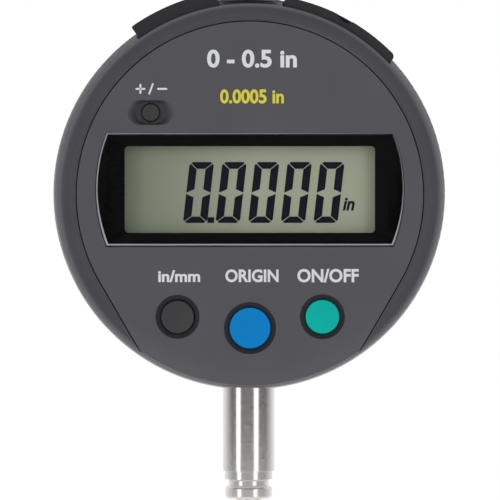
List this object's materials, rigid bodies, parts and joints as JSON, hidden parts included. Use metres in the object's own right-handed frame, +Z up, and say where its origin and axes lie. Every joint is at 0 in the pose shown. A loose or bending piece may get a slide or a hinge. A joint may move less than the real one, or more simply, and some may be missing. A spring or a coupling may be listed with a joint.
{
  "type": "digital indicator",
  "caption": "Round digital plunger indicator with a turning liquid crystal display, push keys, straight clamping stem, sprung spindle with ball contact and a lug back.",
  "frame": {"origin": "on the spindle axis, half way along the ground clamping stem", "axes": "+Z up the spindle axis away from the contact point, the display faces -Y, +X to the reader's right"},
  "size_m": [0.0606, 0.0337, 0.1133],
  "materials": {
    "bezel_plastic": "satin",
    "panel_plastic": "fine texture",
    "window_clear": "clear",
    "mask_black": "satin",
    "lcd_glass": "gloss",
    "rubber_black": "matte",
    "board_green": "solder mask",
    "chip_black": "moulded",
    "screw_steel": "plated",
    "contact_metal": "plated",
    "key_black": "satin",
    "key_blue": "satin",
    "key_green": "satin",
    "cover_plastic": "fine texture",
    "cell_steel": "polished",
    "socket_black": "moulded",
    "case_silver": "satin",
    "back_silver": "satin",
    "retainer_metal": "machined",
    "stem_steel": "ground",
    "bush_brass": "machined",
    "ball_carbide": "polished",
    "scale_glass": "clear",
    "scale_copper": "plated",
    "flex_amber": "gloss film",
    "spring_steel": "drawn"
  },
  "bodies": {
    "case": {"rear_case": "case_silver", "back_plate": "back_silver", "back_gasket": "rubber_black", "back_screws": "screw_steel", "stem": "stem_steel", "lower_bush": "bush_brass", "stem_seal": "rubber_black", "upper_bush": "bush_brass", "guide_pin": "stem_steel", "detector_board": "board_green", "detector_chips": "chip_black", "detector_screws": "screw_steel", "signal_flex": "flex_amber", "spring_post": "stem_steel"},
    "display": {"bezel_ring": "bezel_plastic", "face_panel": "panel_plastic", "window_lens": "window_clear", "window_mask": "mask_black", "lcd_holder": "panel_plastic", "lcd_panel": "lcd_glass", "zebra_strips": "rubber_black", "main_board": "board_green", "board_chips": "chip_black", "board_screws": "screw_steel", "flex_socket": "chip_black", "switch_domes": "contact_metal", "key_collars": "mask_black", "battery_contacts": "contact_metal", "connector_socket": "socket_black", "connector_pins": "contact_metal", "display_back": "socket_black", "turn_ring": "retainer_metal", "turn_screws": "screw_steel"},
    "tray": {"battery_tray": "cover_plastic", "battery_cell": "cell_steel"},
    "data_cover": {"connector_cover": "cover_plastic"},
    "unit_button": {"unit_key": "key_black"},
    "zero_button": {"zero_key": "key_blue"},
    "power_button": {"power_key": "key_green"},
    "sign_button": {"sign_key": "key_black"},
    "cap": {"spindle_cap": "cover_plastic"},
    "plunger": {"spindle": "stem_steel", "contact_body": "stem_steel", "contact_ball": "ball_carbide", "scale_carrier": "socket_black", "carrier_screw": "screw_steel", "scale_glass": "scale_glass", "scale_pattern": "scale_copper", "stop_buffer": "rubber_black", "return_spring": "spring_steel"}
  },
  "joints": [
    {"name": "spindle_travel", "type": "slide", "parent": "case", "child": "plunger", "axis": [0, 0, 1], "range_m": [0, 0.0127], "stiffness_N_per_m": 47, "springref_m": -0.0191, "deforming": ["return_spring"]},
    {"name": "display_turn", "type": "hinge", "parent": "case", "child": "display", "pos_m": [0, 0, 0.0366], "axis": [0, 1, 0], "range_deg": [-165, 165]},
    {"name": "unit_press", "type": "slide", "parent": "display", "child": "unit_button", "axis": [0, 1, 0], "range_m": [0, 0.0004], "stiffness_N_per_m": 2500, "springref_m": -0.0002},
    {"name": "zero_press", "type": "slide", "parent": "display", "child": "zero_button", "axis": [0, 1, 0], "range_m": [0, 0.0004], "stiffness_N_per_m": 2500, "springref_m": -0.0002},
    {"name": "power_press", "type": "slide", "parent": "display", "child": "power_button", "axis": [0, 1, 0], "range_m": [0, 0.0004], "stiffness_N_per_m": 2500, "springref_m": -0.0002},
    {"name": "sign_press", "type": "slide", "parent": "display", "child": "sign_button", "axis": [0, 1, 0], "range_m": [0, 0.0004], "stiffness_N_per_m": 2500, "springref_m": -0.0002},
    {"name": "tray_pull", "type": "slide", "parent": "display", "child": "tray", "axis": [0.4756, 0, 0.8796], "range_m": [0, 0.016]},
    {"name": "data_cover_pull", "type": "slide", "parent": "display", "child": "data_cover", "axis": [-0.3803, 0, 0.9249], "range_m": [0, 0.006]},
    {"name": "cap_pull", "type": "slide", "parent": "case", "child": "cap", "axis": [0, 0, 1], "range_m": [0, 0.008]}
  ]
}
